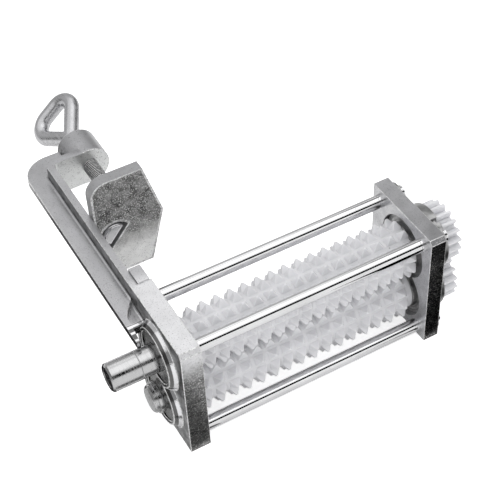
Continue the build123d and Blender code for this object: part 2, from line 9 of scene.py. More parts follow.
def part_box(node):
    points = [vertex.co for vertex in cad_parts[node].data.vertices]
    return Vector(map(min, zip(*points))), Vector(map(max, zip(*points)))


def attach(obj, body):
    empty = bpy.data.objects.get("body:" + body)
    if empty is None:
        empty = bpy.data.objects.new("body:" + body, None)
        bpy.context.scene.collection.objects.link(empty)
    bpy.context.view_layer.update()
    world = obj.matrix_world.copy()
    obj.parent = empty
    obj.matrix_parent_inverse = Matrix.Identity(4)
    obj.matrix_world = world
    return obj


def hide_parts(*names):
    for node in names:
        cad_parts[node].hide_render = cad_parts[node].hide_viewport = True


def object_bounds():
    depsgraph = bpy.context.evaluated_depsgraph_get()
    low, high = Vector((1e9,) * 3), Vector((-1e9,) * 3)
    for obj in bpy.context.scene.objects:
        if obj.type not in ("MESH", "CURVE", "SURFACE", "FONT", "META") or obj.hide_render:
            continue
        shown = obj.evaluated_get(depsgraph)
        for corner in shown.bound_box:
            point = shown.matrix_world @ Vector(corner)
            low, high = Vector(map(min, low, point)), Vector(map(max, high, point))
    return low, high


bl_info = {
    "name": "Hand-Cranked Meat Tenderizer",
    "version": (1, 0, 0),
    "blender": (4, 5, 0),
    "location": "3D View > Sidebar > Tenderizer",
    "description": "Dresses the fixed frame of a clamp-on meat tenderizer for a studio picture",
    "category": "Object",
}

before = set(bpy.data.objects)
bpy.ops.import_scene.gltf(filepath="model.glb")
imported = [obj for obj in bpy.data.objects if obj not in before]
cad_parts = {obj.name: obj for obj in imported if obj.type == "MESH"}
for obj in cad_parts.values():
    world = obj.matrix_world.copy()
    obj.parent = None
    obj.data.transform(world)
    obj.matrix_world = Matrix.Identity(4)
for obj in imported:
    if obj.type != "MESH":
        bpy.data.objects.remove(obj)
cad_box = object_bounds()

MM = 0.001
LEVELS = ("upper", "lower")
ROD_CORNERS = ("front_top", "rear_top", "front_bottom", "rear_bottom")

# Closer points are merged, and faces that meet at less than the angle become one
MERGE_GAP = 0.001 * MM
FLAT_ANGLE = radians(0.6)
# Edges whose faces meet at more than this are sharp
SHARP_ANGLE = radians(32)
# A longer edge is rounded whatever it ends on; a shorter one needs room, in widths of rounding
LONG_EDGE = 20 * MM
EDGE_ROOM = 2.2
# Facets across the rounded edges of small pieces
SMALL_ROUND_STEPS = 2
# A roller's edges past this share of its outside radius are those of the points' tips
TIP_SHARE = 0.9
# How far the cards on the floor stand over it, before the object and past its sides
CARD_LIFT = 0.5 * MM
FLOOR_CARD_GAP = 2 * MM
FLOOR_CARD_REACH = 10 * MM
LEFT_CARD_INSET = 14 * MM
# Length and depth of the cards that shade one side of the castings each
NEAR_FLOOR_SIZE = (45 * MM, 46 * MM)
FAR_FLOOR_SIZE = (250 * MM, 150 * MM)
LEFT_FLOOR_SIZE = (200 * MM, 204 * MM)
NEAR_TOP_SIZE = (400 * MM, 350 * MM)
FAR_TOP_SIZE = (300 * MM, 250 * MM)
# Front corners of the two that hang over the plates, and how much higher their backs are
NEAR_TOP_CORNER = (-75 * MM, 300 * MM, 670 * MM)
NEAR_TOP_RISE = 160 * MM
FAR_TOP_CORNER = (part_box("far_plate")[1].x + 140 * MM, 40 * MM, 420 * MM)
FAR_TOP_RISE = 80 * MM
# Width in millimetres of the sensor that the camera's lens is given for
SENSOR_WIDTH = 36.0

# The arm's plating begins behind the plates, and high up outside the bearings' face
ARM_FADE_START, ARM_FADE_END = -2 * MM, 6 * MM
ARM_LOW_Z, ARM_HIGH_Z = 62 * MM, 65 * MM
ARM_SIDE_FADE = 1 * MM
# The bosses are polished round the shafts, up to this far behind the bearings' face
BOSS_RADIUS, BOSS_FADE = 20.6 * MM, 0.6 * MM
BOSS_INNER_X, BOSS_OUTER_X = 3.6 * MM, 3.2 * MM

# Colours of small marks in the finishes, and of two painted lights: the bright reflection on the
# arm's wall and the glints on dark front faces
WALL_REFLECTION_COLOUR = (0.96, 0.97, 0.96)
WALL_MARK_COLOUR = (0.4, 0.4, 0.4)
SPARKLE_COLOUR = (0.85, 0.85, 0.84)
BOSS_RING_COLOUR = (0.1, 0.1, 0.1)
PLASTIC_SPECK_COLOUR = (0.3, 0.3, 0.31)


def middle(node):
    """Centre of a node's box."""
    low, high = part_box(node)
    return (low + high) / 2


# Sizes and colours that a user would change

class TenderizerSizes(bpy.types.PropertyGroup):
    casting_round: FloatProperty(
        name="Casting Edge Round", description="Radius of the castings' edges",
        default=0.4 * MM, min=0, unit="LENGTH",
    )
    machined_round: FloatProperty(
        name="Machined Edge Round", description="Radius of turned and stamped edges",
        default=0.25 * MM, min=0, unit="LENGTH",
    )
    point_round: FloatProperty(
        name="Point Round", description="Radius of the edges at the tips of the rollers' points",
        default=0.3 * MM, min=0, unit="LENGTH",
    )
    round_steps: IntProperty(
        name="Round Steps", description="Facets across the rounded edges of the plates",
        default=3, min=1, max=6,
    )
    gear_round: FloatProperty(
        name="Gear Round", description="Radius of the edges of the moulded gears",
        default=0.45 * MM, min=0, unit="LENGTH",
    )
    rod_chamfer: FloatProperty(
        name="Rod Chamfer", description="Chamfer at the far end of a tie rod",
        default=0.5 * MM, min=0, unit="LENGTH",
    )
    rod_groove: FloatProperty(
        name="Groove", description="Width and depth of the grooves round the rods and the stub",
        default=0.3 * MM, min=0, unit="LENGTH",
    )
    plate_groove_gap: FloatProperty(
        name="Plate Groove Gap", description="From the inner groove of a tie rod to the far plate",
        default=3.0 * MM, min=0, unit="LENGTH",
    )
    end_groove_gap: FloatProperty(
        name="End Groove Gap", description="From the outer groove of a tie rod to its far end",
        default=1.5 * MM, min=0, unit="LENGTH",
    )
    shaft_chamfer: FloatProperty(
        name="Shaft Chamfer", description="Chamfer at the ends of the shafts",
        default=1.0 * MM, min=0, unit="LENGTH",
    )
    seat_length: FloatProperty(
        name="Crank Seat", description="From the stub's tip to the line round it",
        default=17.0 * MM, min=0, unit="LENGTH",
    )
    socket_radius: FloatProperty(
        name="Crank Socket", description="Radius of the hollow in the stub's end",
        default=5.0 * MM, min=0, unit="LENGTH",
    )
    socket_depth: FloatProperty(
        name="Crank Socket Depth", description="Depth of the hollow in the stub's end",
        default=14.0 * MM, min=0, unit="LENGTH",
    )
    turned_steps: IntProperty(
        name="Turned Steps", description="Facets round a turned piece",
        default=72, min=12, max=128,
    )
    bar_radius: FloatProperty(
        name="Screw Bar Radius", description="Outside radius of the clamp screw's bar",
        default=4.75 * MM, min=0, unit="LENGTH",
    )
    thread_pitch: FloatProperty(
        name="Thread Pitch", description="Advance of the clamp screw in one turn",
        default=1.25 * MM, min=0, unit="LENGTH",
    )
    thread_depth: FloatProperty(
        name="Thread Depth", description="Depth of the clamp screw's thread",
        default=0.62 * MM, min=0, unit="LENGTH",
    )
    thread_steps: IntProperty(
        name="Thread Steps", description="Facets in one turn of the thread",
        default=36, min=12, max=72,
    )
    thread_end: FloatProperty(
        name="Thread End", description="From the thread's end to the far side of the loop",
        default=38.6 * MM, min=0, unit="LENGTH",
    )
    jaw_rim: FloatProperty(
        name="Jaw Rim", description="Width of the raised rim round the jaw's face",
        default=1.3 * MM, min=0, unit="LENGTH",
    )
    jaw_rim_rise: FloatProperty(
        name="Jaw Rim Rise", description="How far the rim stands over the jaw's face",
        default=0.25 * MM, min=0, unit="LENGTH",
    )


class TenderizerFinish(bpy.types.PropertyGroup):
    casting_colour: FloatVectorProperty(
        name="Casting", description="Plating of the near plate",
        default=(0.84, 0.84, 0.855), min=0, max=1, subtype="COLOR",
    )
    arm_colour: FloatVectorProperty(
        name="Arm", description="Duller plating of the clamp arm, the far plate and the jaw",
        default=(0.57, 0.57, 0.585), min=0, max=1, subtype="COLOR",
    )
    # Wear on the rounded edges, and a painted highlight along them and on the thread's crests
    worn_highlight_colour: FloatVectorProperty(
        name="Worn Edges and Highlights", description="Bright metal on worn edges",
        default=(0.90, 0.90, 0.90), min=0, max=1, subtype="COLOR",
    )
    # Painted dark reflection low on the near plate's front face
    front_reflection_colour: FloatVectorProperty(
        name="Front Reflection", description="Painted dark reflection low on the near plate's front face",
        default=(0.10, 0.10, 0.097), min=0, max=1, subtype="COLOR",
    )
    # Painted dark reflection high on the jaw's pressing face
    jaw_reflection_colour: FloatVectorProperty(
        name="Jaw Face", description="Dark middle of the jaw's pressing face",
        default=(0.05, 0.05, 0.048), min=0, max=1, subtype="COLOR",
    )
    rod_colour: FloatVectorProperty(
        name="Rods", description="Polished tie rods, jaw stud and jaw pins",
        default=(0.80, 0.80, 0.81), min=0, max=1, subtype="COLOR",
    )
    shaft_colour: FloatVectorProperty(
        name="Shafts", description="Shafts with the crank stub",
        default=(0.58, 0.58, 0.585), min=0, max=1, subtype="COLOR",
    )
    screw_colour: FloatVectorProperty(
        name="Screw", description="Plated clamp screw and its loop",
        default=(0.60, 0.60, 0.615), min=0, max=1, subtype="COLOR",
    )
    plastic_colour: FloatVectorProperty(
        name="Plastic", description="Moulded rollers and gears",
        default=(0.76, 0.76, 0.78), min=0, max=1, subtype="COLOR",
    )
    housing_colour: FloatVectorProperty(
        name="Housing", description="Far bearing housing with its bushes, clips and pins",
        default=(0.62, 0.62, 0.62), min=0, max=1, subtype="COLOR",
    )
    # Also the painted shade in the clamp screw's thread roots
    bearing_and_root_shade_colour: FloatVectorProperty(
        name="Bearings", description="Bearing discs of the near plate",
        default=(0.24, 0.24, 0.24), min=0, max=1, subtype="COLOR",
    )


class TenderizerStage(bpy.types.PropertyGroup):
    floor_colour: FloatVectorProperty(
        name="Floor", description="Colour of the floor",
        default=(0.96, 0.96, 0.96), min=0, max=1, subtype="COLOR",
    )
    floor_size: FloatProperty(
        name="Floor Size", description="Length and width of the floor",
        default=6.0, min=0, unit="LENGTH",
    )
    camera_place: FloatVectorProperty(
        name="Camera Place", description="Where the camera stands",
        default=(-232.0 * MM, -500.88 * MM, 570.0 * MM), subtype="TRANSLATION", unit="LENGTH",
    )
    camera_right: FloatVectorProperty(
        name="Camera Right", description="Direction of the picture's right side",
        default=(0.8692, -0.4929, -0.0392), subtype="DIRECTION",
    )
    camera_view: FloatVectorProperty(
        name="Camera View", description="Direction in which the camera looks",
        default=(0.3225, 0.6253, -0.7107), subtype="DIRECTION",
    )
    camera_lens: FloatProperty(
        name="Camera Lens", description="Focal length on a 36 mm wide sensor, in millimetres",
        default=91.9, min=1,
    )
    sky_strength: FloatProperty(
        name="Sky Strength", description="Strength of the even light from all sides",
        default=0.97, min=0,
    )
    key_power: FloatProperty(
        name="Key Power", description="Power of the large lamp overhead",
        default=1.4, min=0, unit="POWER",
    )
    key_place: FloatVectorProperty(
        name="Key Place", description="Middle of the large lamp overhead",
        default=(0.35, -0.15, 1.1), subtype="TRANSLATION", unit="LENGTH",
    )
    key_size: FloatVectorProperty(
        name="Key Size", description="Length and width of the large lamp overhead",
        default=(1.2, 0.85), size=2, min=0, unit="LENGTH",
    )
    key_shine: FloatProperty(
        name="Key Shine", description="Brightness of the overhead lamp in reflections",
        default=1.45, min=0,
    )
    band_distance: FloatProperty(
        name="Dark Band Distance", description="From the rollers to the dark band in front",
        default=0.8, min=0, unit="LENGTH",
    )
    band_angles: FloatVectorProperty(
        name="Dark Band Angles", description="Lower and upper edge of the dark band in front",
        default=(radians(28), radians(53)), size=2, subtype="EULER", unit="ROTATION",
    )
    wall_distance: FloatProperty(
        name="Wall Distance", description="From the object to the grey walls round it",
        default=0.9, min=0, unit="LENGTH",
    )
    wall_height: FloatProperty(
        name="Wall Height", description="Height of the grey walls",
        default=0.75, min=0, unit="LENGTH",
    )
    wall_brightness: FloatProperty(
        name="Wall Brightness", description="Brightness of the walls at the sides",
        default=0.25, min=0, max=1,
    )
    floor_glow: FloatProperty(
        name="Floor Glow", description="Light that the camera sees in the floor on top of its own",
        default=0.65, min=0,
    )


# Mesh work shared by the pieces

def cad_copy(node):
    """The solid's mesh, merged and freed of the lines across its flat faces."""
    bm = bmesh.new()
    bm.from_mesh(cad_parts[node].data)
    bmesh.ops.remove_doubles(bm, verts=bm.verts, dist=MERGE_GAP)
    bmesh.ops.dissolve_limit(
        bm, angle_limit=FLAT_ANGLE, use_dissolve_boundaries=False,
        verts=bm.verts, edges=bm.edges, delimit=set(),
    )
    return bm


def sharp_edges(bm):
    """Edges between two faces that meet at a sharp angle."""
    return [
        edge for edge in bm.edges
        if len(edge.link_faces) == 2 and edge.calc_face_angle(0) > SHARP_ANGLE
    ]


def roomy_edges(bm, room):
    """Sharp edges that are long, or that have room at both their ends.

    The others are too short for a rounding, or end on an edge that is.
    """
    return [
        edge for edge in sharp_edges(bm)
        if edge.calc_length() > LONG_EDGE
        or all(near.calc_length() > room for vert in edge.verts for near in vert.link_edges)
    ]


def round_edges(bm, width, steps, room=EDGE_ROOM):
    """Rounds the sharp edges and gives the new faces the piece's second material."""
    rounded = bmesh.ops.bevel(
        bm, geom=roomy_edges(bm, room * width), offset=width, offset_type="OFFSET",
        segments=steps, profile=0.5, affect="EDGES", clamp_overlap=False, loop_slide=True,
        material=-1,
    )
    for face in rounded["faces"]:
        face.material_index = 1


def add_piece(
    context, bm, name, body, materials, replaces=(), flat_faces=True, crease=38
):
    """Turns a bmesh into a finished piece that rides on a body.

    Flat faces keep their shading flat up to the rounding of their edges. Faces that
    meet at more than the crease, in degrees, are shaded apart.
    """
    mesh = bpy.data.meshes.new(name)
    bm.to_mesh(mesh)
    bm.free()
    mesh.shade_smooth()
    mesh.set_sharp_from_angle(angle=radians(crease))
    for material in materials:
        mesh.materials.append(material)
    piece = bpy.data.objects.new(name, mesh)
    context.scene.collection.objects.link(piece)
    if flat_faces:
        weighted = piece.modifiers.new("Even shading", "WEIGHTED_NORMAL")
        weighted.keep_sharp = True
        weighted.weight = 80
    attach(piece, body)
    if replaces:
        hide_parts(*replaces)


def softened(context, node, body, material, width, steps, worn=None, room=EDGE_ROOM):
    """A merged copy of a solid with its edges rounded, in the solid's place.

    The worn material is that of the rounded edges, where they have one of their own; on the
    castings it is wear with a painted highlight.
    """
    bm = cad_copy(node)
    round_edges(bm, width, steps, room)
    add_piece(context, bm, f"{node}_dressed", body, [material, worn or material], [node])


def recoat(node, material):
    """Gives a solid that keeps its own mesh its finish."""
    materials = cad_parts[node].data.materials
    materials.clear()
    materials.append(material)


def turned(outline, centre, steps):
    """Spins an outline round a line along X through a centre.

    The outline's points are an x and a radius, from one end's middle to the other's.
    """
    bm = bmesh.new()
    verts = [bm.verts.new((x, centre.y, centre.z + radius)) for x, radius in outline]
    edges = [bm.edges.new(pair) for pair in zip(verts, verts[1:])]
    bmesh.ops.spin(
        bm, geom=verts + edges, cent=centre, axis=(1, 0, 0), dvec=(0, 0, 0),
        angle=2 * pi, steps=steps, use_merge=True, use_duplicate=False,
    )
    bmesh.ops.remove_doubles(bm, verts=bm.verts, dist=MERGE_GAP)
    bmesh.ops.recalc_face_normals(bm, faces=bm.faces)
    return bm


# Node work shared by the materials

def put(tree, kind, inputs=None, **settings):
    """Adds a node; an input is either a constant or the socket that feeds it."""
    node = tree.nodes.new(kind)
    for name, value in settings.items():
        setattr(node, name, value)
    for key, value in (inputs or {}).items():
        socket = node.inputs[key]
        if isinstance(value, bpy.types.NodeSocket):
            tree.links.new(value, socket)
        else:
            socket.default_value = value
    return node


def new_material(name, plain):
    """A material, its tree, its shader with the plain values, and its coordinates."""
    material = bpy.data.materials.new(name)
    material.use_nodes = True
    tree = material.node_tree
    tree.nodes.clear()
    shader = put(tree, "ShaderNodeBsdfPrincipled", plain)
    output = put(tree, "ShaderNodeOutputMaterial")
    tree.links.new(shader.outputs["BSDF"], output.inputs["Surface"])
    place = put(tree, "ShaderNodeTexCoord").outputs["Object"]
    return material, tree, shader, place


def noise(tree, place, scale, detail, roughness, distortion=0.0):
    """Soft random pattern; the scale is the number of its waves in a metre."""
    return put(
        tree, "ShaderNodeTexNoise",
        {"Vector": place, "Scale": scale, "Detail": detail, "Roughness": roughness,
         "Distortion": distortion},
    ).outputs["Fac"]


def stretched(tree, place, factors):
    """Coordinates scaled per axis, so that a pattern runs long along one of them."""
    return put(
        tree, "ShaderNodeMapping", {"Vector": place, "Scale": factors}
    ).outputs["Vector"]


def remap(tree, value, low, high, to_low=0.0, to_high=1.0):
    """Stretches one range over another, and holds what lies past its ends."""
    return put(
        tree, "ShaderNodeMapRange",
        {"Value": value, "From Min": low, "From Max": high, "To Min": to_low,
         "To Max": to_high},
    ).outputs["Result"]


def calculate(tree, operation, first, second=0.0):
    """Arithmetic on two values, held between 0 and 1."""
    return put(
        tree, "ShaderNodeMath", {0: first, 1: second}, operation=operation, use_clamp=True
    ).outputs["Value"]


def blend_colours(tree, share, first, second, blend_type="MIX"):
    """Mixes two colours; each is a socket or three numbers."""
    inputs = {0: share}
    for index, colour in ((6, first), (7, second)):
        is_socket = isinstance(colour, bpy.types.NodeSocket)
        inputs[index] = colour if is_socket else (*colour, 1.0)
    return put(
        tree, "ShaderNodeMix", inputs, data_type="RGBA", blend_type=blend_type
    ).outputs[2]


def overlay(tree, tone, mask, share, colour):
    """Lays a colour over a tone where the mask is 1, by a share."""
    return blend_colours(tree, calculate(tree, "MULTIPLY", mask, share), tone, colour)


def relief(tree, height, depth, strength, below=None):
    """Bump of a depth in metres, on top of the bump below it."""
    inputs = {"Height": height, "Distance": depth, "Strength": strength}
    if below is not None:
        inputs["Normal"] = below
    return put(tree, "ShaderNodeBump", inputs).outputs["Normal"]


def link(tree, socket, shader, name):
    """Feeds one of the shader's inputs."""
    tree.links.new(socket, shader.inputs[name])


def scattered_cells(tree, place, spacing):
    """Random cells at a spacing; each has a middle and a colour of its own."""
    return put(
        tree, "ShaderNodeTexVoronoi", {"Vector": place, "Scale": 1 / spacing, "Randomness": 1.0}
    )


def pits(tree, place, spacing, size):
    """1 in small round pits in about half of the cells, 0 elsewhere.

    The size is a share of the spacing.
    """
    cells = scattered_cells(tree, place, spacing)
    hollow = remap(tree, cells.outputs["Distance"], size * 0.4, size, 1.0, 0.0)
    chance = put(
        tree, "ShaderNodeSeparateColor", {"Color": cells.outputs["Color"]}
    ).outputs["Red"]
    chosen = remap(tree, chance, 0.45, 0.5)
    return calculate(tree, "MULTIPLY", hollow, chosen)


def ring_marks(tree, place, spacing, size):
    """1 along a small round ring in each cell, 0 elsewhere; the size is its radius."""
    cells = scattered_cells(tree, place, spacing)
    off_ring = calculate(tree, "ABSOLUTE", put(
        tree, "ShaderNodeMath", {0: cells.outputs["Distance"], 1: size}, operation="SUBTRACT"
    ).outputs["Value"])
    return remap(tree, off_ring, 0.01, 0.03, 1.0, 0.0)


def facing(tree, side):
    """1 on faces that look against X or Y, the left or the feeding side, 0 elsewhere."""
    normal = put(tree, "ShaderNodeNewGeometry").outputs["Normal"]
    part = put(tree, "ShaderNodeSeparateXYZ", {"Vector": normal}).outputs[side]
    return remap(tree, part, -0.72, -0.9)


def axis_distance(tree, place):
    """Distance from the nearer of the two roller axes."""
    flat = put(
        tree, "ShaderNodeVectorMath", {0: place, 1: (0, 1, 1)}, operation="MULTIPLY"
    ).outputs["Vector"]
    reaches = []
    for level in LEVELS:
        axis = middle(f"{level}_near_bush")
        reaches.append(put(
            tree, "ShaderNodeVectorMath", {0: flat, 1: (0, axis.y, axis.z)},
            operation="DISTANCE",
        ).outputs["Value"])
    return put(
        tree, "ShaderNodeMath", {0: reaches[0], 1: reaches[1]}, operation="MINIMUM"
    ).outputs["Value"]


def turning_lines(tree, reach, frequency):
    """Fine random rings round an axis; the reach is the distance from it."""
    return put(
        tree, "ShaderNodeTexNoise", {"W": reach, "Scale": frequency, "Detail": 2.0},
        noise_dimensions="1D",
    ).outputs["Fac"]


# Materials

def arm_plating(tree, place, parts, front, colour, arm):
    """The arm's own colour, and the inner face of its wall with round marks, painted bright as a
    reflection.

    Returns the colour and the share of the front face that the wall leaves. The arm is a
    colour, the y behind which it begins and the x of the near bearings' outer face.
    """
    arm_colour, arm_y, plate_x = arm
    behind = remap(tree, parts.outputs["Y"], arm_y + ARM_FADE_START, arm_y + ARM_FADE_END)
    beside = remap(tree, parts.outputs["X"], plate_x, plate_x - ARM_SIDE_FADE)
    high = remap(tree, parts.outputs["Z"], ARM_LOW_Z, ARM_HIGH_Z)
    on_arm = calculate(tree, "MAXIMUM", behind, calculate(tree, "MULTIPLY", beside, high))
    base = blend_colours(tree, on_arm, colour, arm_colour)
    wall = calculate(tree, "MULTIPLY", front, behind)
    marks = calculate(tree, "MULTIPLY", ring_marks(tree, place, 6 * MM, 0.2), wall)
    # The wall's inner face is painted bright, a painted reflection
    base = blend_colours(tree, wall, base, WALL_REFLECTION_COLOUR)
    base = overlay(tree, base, marks, 0.35, WALL_MARK_COLOUR)
    return base, calculate(tree, "SUBTRACT", front, behind)


def boss_polish(tree, place, parts, tone, blurred, colour, plate_x):
    """The colour and roughness with the bosses round the shafts polished in rings."""
    reach = axis_distance(tree, place)
    near_axis = remap(tree, reach, BOSS_RADIUS, BOSS_RADIUS + BOSS_FADE, 1.0, 0.0)
    outside = remap(tree, parts.outputs["X"], plate_x + BOSS_INNER_X, plate_x + BOSS_OUTER_X)
    boss = calculate(tree, "MULTIPLY", near_axis, outside)
    tone = overlay(tree, tone, boss, 0.85, colour)
    ring = remap(tree, turning_lines(tree, reach, 420.0), 0.48, 0.54, 0.0, 0.95)
    tone = overlay(tree, tone, boss, ring, BOSS_RING_COLOUR)
    blurred = put(
        tree, "ShaderNodeMix", {0: boss, 2: blurred, 3: 0.12}, data_type="FLOAT"
    ).outputs[0]
    return tone, blurred


def cast_metal(
    name, colour, dark_reflection_colour, dark_z, pale_z, side_colour, side_share, pale_front=None,
    arm=None, metallic=1.0,
):
    """Plated die casting: mottled, grainy, pitted, with a painted dark reflection on its front
    face.

    The painted reflection on the front face is dark at dark_z and has its pale colour from pale_z
    on. The left faces have the side colour by side_share, which paints shade where it is dark and
    a pale reflection where it is light. The arm is as arm_plating has it.
    """
    material, tree, shader, place = new_material(name, {"Metallic": metallic})
    parts = put(tree, "ShaderNodeSeparateXYZ", {"Vector": place})
    mottle = noise(tree, place, 38.0, 4.0, 0.6)
    grain = noise(tree, place, 1500.0, 2.0, 0.6)
    cloud = noise(tree, place, 160.0, 5.0, 0.7, 0.4)
    speck = noise(tree, place, 1300.0, 2.0, 0.6)
    hollow = pits(tree, place, 9 * MM, 0.085)
    base = colour
    front = facing(tree, "Y")
    if arm:
        base, front = arm_plating(tree, place, parts, front, colour, arm)
    # A pale colour painted on the front face as a reflection, where one is given
    if pale_front:
        base = blend_colours(tree, front, base, pale_front)
    dull = blend_colours(tree, 1.0, base, (0.8, 0.8, 0.8), "MULTIPLY")
    dark = blend_colours(tree, 1.0, base, (0.3, 0.3, 0.3), "MULTIPLY")
    tone = blend_colours(tree, remap(tree, mottle, 0.35, 0.68), dull, base)
    tone = blend_colours(tree, remap(tree, cloud, 0.48, 0.68, 0.0, 0.8), tone, dull)
    # Left faces: the side colour paints shade where it is dark, and a pale reflection where it is
    # light
    left = calculate(tree, "MULTIPLY", facing(tree, "X"), side_share)
    tone = overlay(tree, tone, left, remap(tree, cloud, 0.42, 0.6, 1.0, 0.45), side_colour)
    # Front face: a painted dark reflection, with painted glints of the sparkle colour
    dark_reflection_share = calculate(
        tree, "ADD", remap(tree, parts.outputs["Z"], dark_z, pale_z, 0.9, 0.0),
        remap(tree, cloud, 0.35, 0.7, 0.12, -0.3),
    )
    dark_reflection_share = calculate(tree, "MULTIPLY", front, dark_reflection_share)
    tone = blend_colours(tree, dark_reflection_share, tone, dark_reflection_colour)
    tone = overlay(
        tree, tone, remap(tree, speck, 0.54, 0.62, 0.0, 0.8), dark_reflection_share, SPARKLE_COLOUR
    )
    # Dark specks, pits and faint rings all over
    tone = blend_colours(tree, remap(tree, speck, 0.4, 0.32, 0.0, 0.7), tone, dark)
    tone = overlay(tree, tone, hollow, 0.6, dark)
    tone = overlay(tree, tone, ring_marks(tree, place, 20 * MM, 0.045), 0.3, dull)
    blurred = remap(tree, mottle, 0.3, 0.7, 0.25, 0.44)
    if arm:
        tone, blurred = boss_polish(tree, place, parts, tone, blurred, colour, arm[-1])
    link(tree, tone, shader, "Base Color")
    link(tree, blurred, shader, "Roughness")
    wavy = relief(tree, cloud, 0.25 * MM, 0.35)
    grained = relief(tree, grain, 0.05 * MM, 0.5, wavy)
    pitted = relief(
        tree, calculate(tree, "SUBTRACT", 1.0, hollow), 0.2 * MM, 0.8, grained
    )
    link(tree, pitted, shader, "Normal")
    return material


def worn_highlight_metal(name, colour, colour_dark):
    """Bright scuffed metal for rounded edges: wear, and a painted highlight along them, broken by
    duller stretches.
    """
    material, tree, shader, place = new_material(name, {"Metallic": 0.25})
    scuffs = noise(tree, place, 700.0, 4.0, 0.7)
    tone = blend_colours(tree, remap(tree, scuffs, 0.42, 0.6), colour, colour_dark)
    link(tree, tone, shader, "Base Color")
    link(tree, remap(tree, scuffs, 0.35, 0.65, 0.25, 0.5), shader, "Roughness")
    link(tree, relief(tree, scuffs, 0.05 * MM, 0.5), shader, "Normal")
    return material


def polished_steel(name, colour, roughness, along, blemish):
    """Plated bar: fine marks that run along it or round it, and small dull spots.

    The blemish is the share of the spots' darkness.
    """
    material, tree, shader, place = new_material(name, {"Metallic": 1.0})
    lines = noise(tree, stretched(tree, place, along), 900.0, 2.0, 0.5)
    spots = noise(tree, place, 420.0, 4.0, 0.7)
    cloud = noise(tree, place, 55.0, 3.0, 0.5)
    dull = tuple(0.55 * part for part in colour)
    tone = blend_colours(
        tree, remap(tree, spots, 0.62, 0.7, 0.0, 0.6 * blemish), colour, dull
    )
    tone = blend_colours(tree, remap(tree, cloud, 0.4, 0.75, 0.0, 0.3), tone, dull)
    link(tree, tone, shader, "Base Color")
    blurred = calculate(
        tree, "ADD", remap(tree, lines, 0.3, 0.7, roughness * 0.6, roughness * 1.4),
        remap(tree, spots, 0.55, 0.7, 0.0, 0.12 * blemish),
    )
    link(tree, blurred, shader, "Roughness")
    marked = relief(tree, lines, 0.01 * MM, 0.4)
    link(tree, relief(tree, spots, 0.02 * MM, 0.5 * blemish, marked), shader, "Normal")
    return material


def moulded_plastic(name, colour):
    """White moulded plastic that lets some light through its thin points."""
    material, tree, shader, place = new_material(name, {
        "Subsurface Weight": 0.7, "Subsurface Radius": (1.0, 1.0, 1.0),
        "Subsurface Scale": 2.2 * MM, "IOR": 1.5,
    })
    cloud = noise(tree, place, 60.0, 3.0, 0.5)
    grain = noise(tree, place, 1800.0, 2.0, 0.5)
    specks = pits(tree, place, 11 * MM, 0.055)
    shade = tuple(0.93 * part for part in colour)
    tone = blend_colours(tree, remap(tree, cloud, 0.35, 0.65), shade, colour)
    tone = overlay(tree, tone, specks, 0.7, PLASTIC_SPECK_COLOUR)
    link(tree, tone, shader, "Base Color")
    link(tree, remap(tree, cloud, 0.3, 0.7, 0.34, 0.46), shader, "Roughness")
    link(tree, relief(tree, grain, 0.02 * MM, 0.3), shader, "Normal")
    return material


def turned_metal(name, colour, roughness):
    """Grey turned metal with rings round the roller axes and dark marks."""
    material, tree, shader, place = new_material(name, {"Metallic": 1.0})
    cloud = noise(tree, place, 120.0, 4.0, 0.6)
    grain = noise(tree, place, 1600.0, 2.0, 0.6)
    rings = turning_lines(tree, axis_distance(tree, place), 900.0)
    dark = tuple(0.45 * part for part in colour)
    tone = blend_colours(tree, remap(tree, cloud, 0.38, 0.66), dark, colour)
    tone = blend_colours(tree, remap(tree, grain, 0.62, 0.7, 0.0, 0.5), tone, dark)
    tone = blend_colours(tree, remap(tree, rings, 0.48, 0.6, 0.0, 0.7), tone, dark)
    link(tree, tone, shader, "Base Color")
    link(
        tree, remap(tree, cloud, 0.3, 0.7, roughness - 0.06, roughness + 0.1),
        shader, "Roughness",
    )
    ringed = relief(tree, rings, 0.04 * MM, 0.6)
    link(tree, relief(tree, grain, 0.03 * MM, 0.5, ringed), shader, "Normal")
    return material


def kept(make, name, *details, **options):
    """The named material: found again if another operator has made it, else made."""
    return bpy.data.materials.get(name) or make(name, *details, **options)


def casting_material(context):
    finish = context.scene.tenderizer_finish
    # Near plate: a painted dark reflection low on its front face, painted shade on its left faces
    # and a painted bright reflection on the arm's wall
    return kept(
        cast_metal, "plated casting", tuple(finish.casting_colour),
        tuple(finish.front_reflection_colour), dark_z=57 * MM, pale_z=75 * MM,
        side_colour=(0.05, 0.05, 0.05), side_share=0.9,
        arm=(
            tuple(finish.arm_colour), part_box("far_plate")[1].y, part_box("upper_near_bush")[0].x
        ),
    )


def worn_highlight_material(context):
    finish = context.scene.tenderizer_finish
    bright = tuple(finish.worn_highlight_colour)
    return kept(worn_highlight_metal, "worn edge", bright, tuple(0.5 * part for part in bright))


def bright_material(context):
    finish = context.scene.tenderizer_finish
    return kept(
        polished_steel, "polished steel", tuple(finish.rod_colour), roughness=0.1,
        along=(0.03, 1, 1), blemish=0.5,
    )


def housing_material(context):
    finish = context.scene.tenderizer_finish
    return kept(turned_metal, "turned grey metal", tuple(finish.housing_colour), roughness=0.34)


def bearing_and_root_shade_material(context):
    finish = context.scene.tenderizer_finish
    return kept(turned_metal, "dark bearing metal", tuple(finish.bearing_and_root_shade_colour), roughness=0.24)


def plastic_material(context):
    finish = context.scene.tenderizer_finish
    return kept(moulded_plastic, "moulded white plastic", tuple(finish.plastic_colour))


# Pieces

